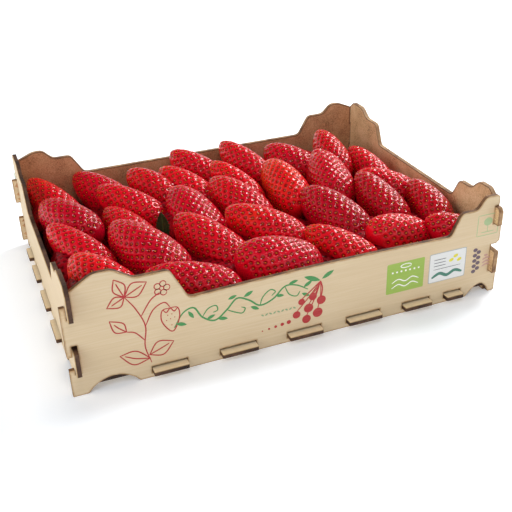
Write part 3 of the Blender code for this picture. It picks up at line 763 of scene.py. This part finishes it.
def fruit(skin, shaded_skin, seed):
    """All berries of both layers, with the seeds of those that show."""
    draw = random.Random(FRUIT_SEED)
    tops, seeds, tones = [], [], []
    for name, (*numbers, hue, light) in BERRIES.items():
        berry = Berry(numbers, draw, BELLY, FURROW if name == FURROWED else 0.0)
        points, triangles, reach, (site_s, sites, out, lengthways) = berry_skin(
            berry, TOP_MESH, draw, SHOWN_TURN)
        share = (points - berry.tip) @ berry.along / berry.length
        hues = HUE + HUE_SPREAD * hue + HUE_FALL * (HUE_EVEN_AT - share)
        tops.append((points, triangles, reach, hues, np.full(len(points), LIGHT + LIGHT_SPREAD * light)))
        depth = PIT_DEPTH * pit_size(site_s * berry.length)
        shape, faces, corners = seed_shapes(sites, out, lengthways, depth, draw)
        seeds.append((shape, faces))
        green = SEED_GREEN * np.exp(-site_s / SEED_GREEN_REACH)
        tone = np.array([draw.uniform(*SEED_TONES) for _ in sites]) + green
        tones.append(np.repeat(np.clip(tone, 0, 1), corners))
    for k in range(0, len(tops), BERRIES_A_PIECE):
        points, triangles, *tints = zip(*tops[k:k + BERRIES_A_PIECE])
        mesh_piece(f"strawberries_{k // BERRIES_A_PIECE + 1}", *joined(zip(points, triangles)), skin,
                   "strawberry", "strawberries",
                   attributes=dict(zip(("reach", "hue", "light"), map(np.concatenate, tints))))
    mesh_piece("strawberry_seeds", *joined(seeds), seed, "strawberry", "strawberries",
               attributes={"tone": np.concatenate(tones)})
    lower = [berry_skin(Berry(numbers, draw), LOWER_MESH, draw, LOWER_SHOWN_TURN)
             for numbers in (*lower_layer(), *WALL_BERRIES)]
    points, triangles = joined([berry[:2] for berry in lower])
    # The lower layer's low lightness is painted shade
    mesh_piece("strawberries_lower_layer", points, triangles, shaded_skin, "strawberry", "strawberries",
               attributes={"reach": np.concatenate([berry[2] for berry in lower]),
                           "hue": np.full(len(points), SHADE_HUE),
                           "light": np.full(len(points), SHADE_LIGHT)})


def heap_core(material):
    """Fruit below both layers: a closed block whose top is a field of low humps and falls off at the walls.
    Its height is CORE_HEIGHT plus CORE_HUMP times sin(x / 9) cos(y / 8), less up to CORE_FALL within
    CORE_BORDER of a wall, by the square of the share."""
    x, y = np.meshgrid(np.linspace(-CORE_HALF[0], CORE_HALF[0], 95),
                       np.linspace(-CORE_HALF[1], CORE_HALF[1], 69), indexing="ij")
    from_wall = np.minimum(CORE_HALF[0] - np.abs(x), CORE_HALF[1] - np.abs(y))
    height = (CORE_HEIGHT + CORE_HUMP * np.sin(x / 9.0) * np.cos(y / 8.0)
              - CORE_FALL * np.clip(1 - from_wall / CORE_BORDER, 0, 1) ** 2)
    top, bottom = (np.stack([x, y, z], -1) for z in (height, np.full_like(x, CORE_FOOT)))
    mesh_piece("strawberries_core", *closed_plate(top, bottom), material, "strawberry", "strawberries")


def leaf(material):
    """Pointed leaf with a toothed edge. Across it curls by the square of the distance from its midrib,
    along it waves as a sine, and the side veins sink where the cosine of a slanted distance peaks."""
    foot, tip = np.array(LEAF_FOOT), np.array(LEAF_TIP)
    along = tip - foot
    across = np.array([1.0, -0.35, 0.0]) / math.hypot(1.0, 0.35)
    normal = np.cross(across, along / np.linalg.norm(along))
    t, s = np.meshgrid(np.linspace(0, 1, 61), np.linspace(-1, 1, 25), indexing="ij")
    half = LEAF_WIDTH / 2 * (0.10 + 0.90 * np.sin(math.pi * np.minimum(0.25 + 0.75 * t, 0.985)) ** 0.8)
    teeth = 1.0 + 0.07 * (np.abs(s) > 0.97) * np.sign(np.sin(t * FULL_TURN * LEAF_TEETH))
    veins = np.maximum(np.cos((t * 20 - np.abs(s) * 4) * 2.2), 0) ** 6 * 0.5 + np.exp(-(s / 0.07) ** 2)
    lift = 0.9 * s * s + 0.5 * np.sin(2.2 * math.pi * t + s) - 0.10 * np.minimum(veins, 1.0)
    middle = foot + t[..., None] * along + (half * s * teeth)[..., None] * across
    layers = [middle + (lift + side * LEAF_THICKNESS)[..., None] * normal for side in (-0.5, 0.5)]
    mesh_piece("strawberry_leaf", *closed_plate(*layers), material, "leaf", "leaf",
               attributes={"vein": np.tile(np.clip(veins, 0, 1).ravel(), 2)})


# Print

def smooth_path(knots):
    """Points of a curve through some knots: between two of them a cubic, whose slope at each knot is half
    the step from the knot before to the knot after."""
    knots = np.array(knots, float)
    before = np.concatenate([2 * knots[:1] - knots[1:2], knots[:-1]])
    after = np.concatenate([knots[1:], 2 * knots[-1:] - knots[-2:-1]])
    slope = (after - before) / 2
    t = (np.arange(CURVE_STEPS) / CURVE_STEPS)[None, :, None]
    start, end, leave, arrive = knots[:-1, None], knots[1:, None], slope[:-1, None], slope[1:, None]
    curve = ((2 * t ** 3 - 3 * t ** 2 + 1) * start + (t ** 3 - 2 * t ** 2 + t) * leave
             + (3 * t ** 2 - 2 * t ** 3) * end + (t ** 3 - t ** 2) * arrive)
    return np.concatenate([curve.reshape(-1, 2), knots[-1:]])


def outwards_turned(points, triangles):
    """The same solid with its triangles turned so that its volume comes out positive."""
    a, b, c = (points[triangles[:, k]] for k in range(3))
    return points, triangles if np.sum(a * np.cross(b, c)) > 0 else triangles[:, ::-1]


def inked_line(knots, width=THIN_LINE, layer=1):
    """Line of ink along a curve, thinner at both ends, as a closed strip of four corners across: half the
    width to each side, and from the board's face outwards by INK for each layer."""
    path = smooth_path(knots)
    way = np.gradient(path, axis=0)
    way /= np.linalg.norm(way, axis=1, keepdims=True)
    side = np.stack([-way[:, 1], way[:, 0]], -1)
    half = (width / 2 * (1 - 0.5 * np.linspace(-1, 1, len(path)) ** 6))[:, None] * side
    level = np.full((len(path), 1), INK * layer)
    rows = np.stack([np.hstack([path + half, level]), np.hstack([path - half, level]),
                     np.hstack([path - half, -level]), np.hstack([path + half, -level])], 1)
    points = np.concatenate([[[*path[0], 0.0]], rows.reshape(-1, 3), [[*path[-1], 0.0]]])
    return outwards_turned(points, tube_triangles(len(path), 4))


def inked_field(x, z, half_x, half_z, tilt=0.0, bend=(1.0, 1.0), layer=1):
    """Field of ink as a closed plate. Its border is half_x times the cosine and half_z times the sine of a
    turn, each raised to a power that keeps its sign: 1 and 1 an oval, 1 and 2 a pointed leaf, 0.06 a box."""
    turn = np.linspace(0, FULL_TURN, FIELD_STEPS, endpoint=False) + 0.01
    across = half_x * np.sign(np.cos(turn)) * np.abs(np.cos(turn)) ** bend[0]
    upwards = half_z * np.sign(np.sin(turn)) * np.abs(np.sin(turn)) ** bend[1]
    c, s = math.cos(math.radians(tilt)), math.sin(math.radians(tilt))
    border = np.stack([x + c * across - s * upwards, z + s * across + c * upwards], -1)
    level = np.full((FIELD_STEPS, 1), INK * layer)
    points = np.concatenate([[[x, z, INK * layer]], np.hstack([border, level]), np.hstack([border, -level]),
                             [[x, z, -INK * layer]]])
    return outwards_turned(points, tube_triangles(2, FIELD_STEPS))


def leaf_mark(x, z, length, width, tilt, layer=1):
    """Small pointed leaf of ink."""
    return inked_field(x, z, length / 2, width / 2, tilt, LEAF_BEND, layer)


def dot_row(start, step, count, radius, layer=1):
    """Round dots of ink at equal steps."""
    return [inked_field(start[0] + k * step[0], start[1] + k * step[1], radius, radius, layer=layer)
            for k in range(count)]


def ring_line(x, z, half_x, half_z, width, layer=1):
    """Oval drawn as a line of ink."""
    turn = np.linspace(0, FULL_TURN, 13)
    return inked_line(np.stack([x + half_x * np.cos(turn), z + half_z * np.sin(turn)], -1), width, layer)


def leaf_lines(foot, tip, left, right, midway, end):
    """Knots of a leaf drawn in lines: its two sides, each through a point, and its midrib."""
    return [[foot, left, tip], [foot, right, tip], [foot, midway, end]]


def sprig():
    """Line drawing of a fruiting plant for the left tower, in millimetres from the board's left end and
    from the floor. Each line is a little higher than the one before, so that none lie in one plane."""
    drawn = [
        [(46, 11), (43, 24), (44.5, 38), (40, 51), (34, 61)],
        [(44.5, 38), (50, 48), (57, 51.5), (60.5, 47.5)],
        [(60.5, 47), (55.5, 46), (54.5, 39.5), (57.5, 33), (61, 30), (64, 34), (66, 40.5), (65, 46),
         (60.5, 47)],
        [(55.8, 46.5), (58, 44.2), (60.5, 46.6), (62.8, 44.0), (65.2, 46.2)],
        [(43.5, 28), (38, 35), (33, 37)],
        *leaf_lines((33, 37), (23.5, 47), (26, 38.5), (31.5, 43.5), (28.5, 41), (26, 44)),
        *leaf_lines((34, 61), (29, 74), (28, 66), (35, 69), (31.5, 67), (30, 71)),
        *leaf_lines((34, 61), (48, 68), (39, 69), (42, 60), (40, 64), (45, 66.5)),
        *leaf_lines((34, 61), (23, 56), (28, 62), (31, 55), (30, 59), (26, 57)),
        [(42.5, 45.5), (49, 55), (55, 59)],
        *leaf_lines((45, 17), (61, 23), (51, 25), (54, 15), (52, 19.5), (58, 22)),
        *leaf_lines((45.5, 14.5), (27, 21), (37, 22), (35, 12.5), (37, 16.5), (30, 20)),
    ]
    parts = [inked_line(knots, layer=1 + 0.04 * k) for k, knots in enumerate(drawn)]
    for k in range(5):
        turn = FULL_TURN * k / 5
        parts.append(ring_line(56.5 + 3.1 * math.cos(turn), 61.5 + 3.1 * math.sin(turn), 1.9, 1.9, RING_LINE))
    parts += dot_row((57.6, 38.5), (2.6, 0.6), 3, 0.35) + dot_row((58.6, 42.0), (2.6, 0.3), 2, 0.35)
    parts.append(inked_field(60.6, 34.6, 0.35, 0.35))
    return parts


def vine():
    """Wavy green shoot with curls and filled leaves along the middle of the board."""
    stem = [(62, 32), (68, 41), (75, 43), (80, 35), (88, 30.5), (96, 36), (103, 42.5), (111, 39),
            (118, 33.5), (127, 36), (135, 43), (143, 42), (151, 37)]
    curls = ([(80, 35), (84, 40), (89, 41), (90, 37.5), (87, 36.5)],
             [(96, 36), (101, 33), (106, 31), (108, 34), (105.5, 35.5)],
             [(118, 33.5), (120, 39), (125, 43), (128.5, 41), (126, 38.5)],
             [(135, 43), (138, 36.5), (143, 34), (145.5, 37)])
    leaves = ((66.5, 33.5, 7, 2.6, -20), (73, 38.5, 6.5, 2.4, -60), (85.5, 33.6, 6, 2.2, 200),
              (93, 30.5, 7, 2.5, -15), (100, 44, 6, 2.3, 15), (110.5, 43.8, 7, 2.6, 25),
              (114.5, 32.5, 6.5, 2.4, -30), (131.5, 37.2, 6, 2.2, -10), (141, 44.8, 6.5, 2.3, 10),
              (151, 41, 7, 2.5, 30), (149.5, 33.4, 6.5, 2.3, -30))
    return [inked_line(stem, 1.15), *(inked_line(knots, layer=1.2) for knots in curls),
            *(leaf_mark(*numbers, 1.4) for numbers in leaves)]


def berry_cluster():
    """Round berries hanging from a bent stalk, with a row of dots that trails off to the left."""
    fruits = ((150, 14.5, 3.1), (158, 17.5, 3.5), (151.5, 22.5, 3.3), (160.5, 26.5, 3.2), (154.5, 30.5, 2.8),
              (143, 19.5, 2.7), (146.5, 28.5, 2.3))
    berries = [inked_field(x, z, r, r, layer=2) for x, z, r in fruits]
    stalks = [inked_line([(x, z + r * 0.8), ((x + 160) / 2 + 1.0, (z + 41) / 2 + 1.5), (160, 41)],
                         layer=1 + 0.1 * k) for k, (x, z, r) in enumerate(fruits)]
    dots = [inked_field(137.5 - 4.6 * k, 15.5 - 0.5 * k, 1.5 - 0.25 * k, 1.5 - 0.25 * k) for k in range(5)]
    return berries + stalks + dots


def front_print():
    """All inks of the long board's print: name of the ink, then its colour and parts, but for the sprig."""
    zigzag = [(35 if k % 2 else -35) for k in range(9)]
    frame_lines = ([(277, 46.5), (285, 46.5), (293.5, 46.5)], [(293.5, 46.5), (293.5, 54), (293.5, 62)],
                   [(293.5, 62), (285, 62), (277, 62)], [(277, 62), (277, 54), (277, 46.5)],
                   [(285.2, 49), (285.2, 51.5), (285.2, 54)], [(280, 48.9), (285, 48.9), (290.5, 48.9)])
    return {
        "green": ("#3C8A4B", [*vine(), leaf_mark(154.0, 44.0, 12.5, 3.4, 155),
                              leaf_mark(165.0, 44.5, 9.5, 3.0, 28)]),
        "dull_green": ("#86A078", [leaf_mark(119.5 + 2.75 * k, 25.4, 2.5, 1.15, tilt)
                                   for k, tilt in enumerate(zigzag)]),
        "red": ("#AE2228", berry_cluster()),
        "light_green": ("#96B34B", [inked_field(222.75, 29.0, 14.25, 11.5, bend=BOX_BEND)]),
        "white": ("#F2F2EA", [
            *(inked_line([(212.5, z), (217.5, z + 2.2), (222.7, z), (228, z + 2.2), (233, z)], 0.75, 2)
              for z in (21.5, 25.5)),
            *dot_row((212.8, 33.5), (3.3, 0.0), 7, 0.7, 2), ring_line(222.8, 37.3, 4.0, 1.4, 0.6, 2)]),
        "grey": ("#A6A8AA", [inked_field(255.5, 29.35, 14.5, 11.35, bend=BOX_BEND)]),
        "pale": ("#DEDEDC", [inked_field(255.5, 29.35, 14.0, 10.85, bend=BOX_BEND, layer=2)]),
        "teal": ("#3E7C6A", [
            inked_line([(243.5, 22), (249.5, 24.6), (255.5, 22.2), (261.5, 24.6), (267.5, 22.4)], 2.3, 3)]),
        "yellow": ("#D8CF3A", [inked_field(x, z, 1.9, 1.2, 20, layer=3)
                               for x, z in ((261.5, 35.8), (264.5, 32.4), (258.2, 33.2))]),
        "dark_grey": ("#6E7072", [
            *(inked_line([(244.5, z), (249, z), (254, z)], 0.55, 3) for z in (35.6, 33.2, 30.8)),
            inked_line([(244.5, 28.2), (255, 28.2), (266, 28.2)], 0.45, 3)]),
        "violet": ("#64525F", [inked_field(277.4 + 2.9 * (k % 2), 19.3 + 2.1 * k, 1.75, 1.45)
                               for k in range(9)]),
        "rose": ("#C29A90", [
            *(inked_line([(284, z), (287.5, z + 1.2), (291.5, z + 0.4)], 1.3) for z in (22, 24.6, 27.2)),
            inked_field(286.5, 30.4, 1.6, 0.8)]),
        "faded_green": ("#A3B98A", [*(inked_line(knots, 0.55) for knots in frame_lines),
                                    inked_field(285.2, 56.6, 3.4, 3.0)]),
    }


def printed_boards():
    """Print on the outer faces of both long boards. The back one carries it too, turned round, with the
    sprig drawn smaller to suit its narrower tower."""
    plant = sprig()
    small = [(points * BACK_SPRIG_SCALE + BACK_SPRIG_MOVE, triangles) for points, triangles in plant]
    for name, (code, parts) in front_print().items():
        material = printing_ink("ink_" + name, code)
        for board, side, drawing in (("front", -1, plant), ("back", 1, small)):
            points, triangles = joined(parts + (drawing if name == "red" else []))
            placed = np.stack([side * (END_FACE - points[:, 0]), side * (LONG_FACE + points[:, 2]),
                               points[:, 1]], -1)
            mesh_piece(f"print_{board}_{name}", *outwards_turned(placed, triangles), material, "veneer",
                       smooth=False)


# Light, floor and camera

def soft_light(name, place, size, power, mirrored):
    """Rectangular soft box at a place in metres, turned towards the heap."""
    lamp = bpy.data.lights.new(name, "AREA")
    lamp.shape = "RECTANGLE"
    lamp.size, lamp.size_y = size
    lamp.energy = power
    made = place_in_scene(bpy.data.objects.new(name, lamp))
    made.location = place
    made.rotation_euler = (Vector(LIGHT_TARGET) - Vector(place)).to_track_quat("-Z", "Y").to_euler()
    made.visible_glossy = mirrored


def studio(floor_material):
    """White floor, surroundings that are white near the horizon and dim overhead, and three soft boxes."""
    mesh = bpy.data.meshes.new("studio_floor")
    corners = [(x * FLOOR_HALF, y * FLOOR_HALF, 0) for x, y in ((-1, -1), (1, -1), (1, 1), (-1, 1))]
    mesh.from_pydata(corners, [], [(0, 1, 2, 3)])
    mesh.materials.append(floor_material)
    floor = place_in_scene(bpy.data.objects.new("studio_floor", mesh))
    world = bpy.data.worlds.new("studio")
    world.use_nodes = True
    tree = world.node_tree
    direction = add(tree, "TexCoord").outputs["Generated"]
    height = add(tree, "SeparateXYZ", {0: direction}).outputs["Z"]
    wall = add(tree, "ValToRGB", {"Fac": height}, [(0.22, "#FFFFFF"), (0.56, "#565656")])
    connect(tree, tree.nodes["Background"], {"Color": wall})
    bpy.context.scene.world = world
    for name, numbers in SOFT_BOXES.items():
        soft_light(name, *numbers)
    bpy.context.scene.view_settings.view_transform = "Standard"


def portrait_camera():
    """Camera at CAMERA_DISTANCE from its target, backwards along its azimuth and elevation. Its right and up
    are the level and upright directions turned by its roll."""
    azimuth, elevation, roll = (math.radians(a) for a in CAMERA_TURN)
    backwards = Vector((math.sin(azimuth) * math.cos(elevation), -math.cos(azimuth) * math.cos(elevation),
                        math.sin(elevation)))
    level = (-backwards).cross(Vector((0, 0, 1))).normalized()
    upright = level.cross(-backwards)
    right = level * math.cos(roll) + upright * math.sin(roll)
    up = upright * math.cos(roll) - level * math.sin(roll)
    lens = bpy.data.cameras.new("portrait")
    lens.lens = CAMERA_LENS
    lens.sensor_width = 36.0
    lens.clip_start = 0.01
    lens.clip_end = 50.0
    camera = place_in_scene(bpy.data.objects.new("portrait", lens))
    turned = Matrix((right, up, backwards)).transposed().to_4x4()
    turned.translation = Vector(CAMERA_TARGET) * MM + backwards * CAMERA_DISTANCE
    camera.matrix_world = turned
    bpy.context.scene.camera = camera


portrait_camera()
studio(studio_floor())
wood = poplar_veneer("poplar_veneer_sanded", ("#CDB693", "#D3BC98", "#D8C3A2"))
# Paler, lit copy of the veneer for the base's upward face, where the tabs show: painted light
wood_painted_lit = poplar_veneer("poplar_veneer_painted_light", ("#EAD2AA", "#F0DAB4", "#F4E2C2"))
edge = charred_edge("laser_cut_edge_browned", ("#382418", "#5C3F2B", "#785638", "#94734E"))
toasted_edge = charred_edge("laser_cut_edge_toasted", ("#583A26", "#846244", "#9E7C58", "#B8966C"))
dark_edge = charred_edge("laser_cut_edge_charred", ("#1E1009", "#3E2618", "#523624", "#6E4E34"))
board_back = brown_hardboard("brown_hardboard_pressed", ("#7A5339", "#B8875F", "#C8986F", "#DAB38D"))
# Paler, lit copy of the hardboard for the right board's inner face, which faces the light from the left:
# painted light
hardboard_painted_lit = brown_hardboard("brown_hardboard_painted_light", ("#8C6D4A", "#C8A478", "#D8B68A", "#E6CCA4"))
refined_board("front_panel", (0, -1, 0), (1, 0, 0), (0, 0, 1), (wood, board_back, edge))
refined_board("back_panel", (0, 1, 0), (-1, 0, 0), (0, 0, 1), (wood, board_back, toasted_edge))
refined_board("left_panel", (-1, 0, 0), (0, -1, 0), (0, 0, 1), (wood, board_back, dark_edge))
refined_board("right_panel", (1, 0, 0), (0, 1, 0), (0, 0, 1), (wood, hardboard_painted_lit, toasted_edge))
refined_board("base_panel", (0, 0, 1), (1, 0, 0), (0, 1, 0), (wood_painted_lit, wood, dark_edge), 0.2)
fruit(strawberry_skin(), strawberry_skin("strawberry_skin_in_shade", 0.1), dry_seed())
heap_core(shaded_deep_flesh())
leaf(fresh_leaf())
printed_boards()
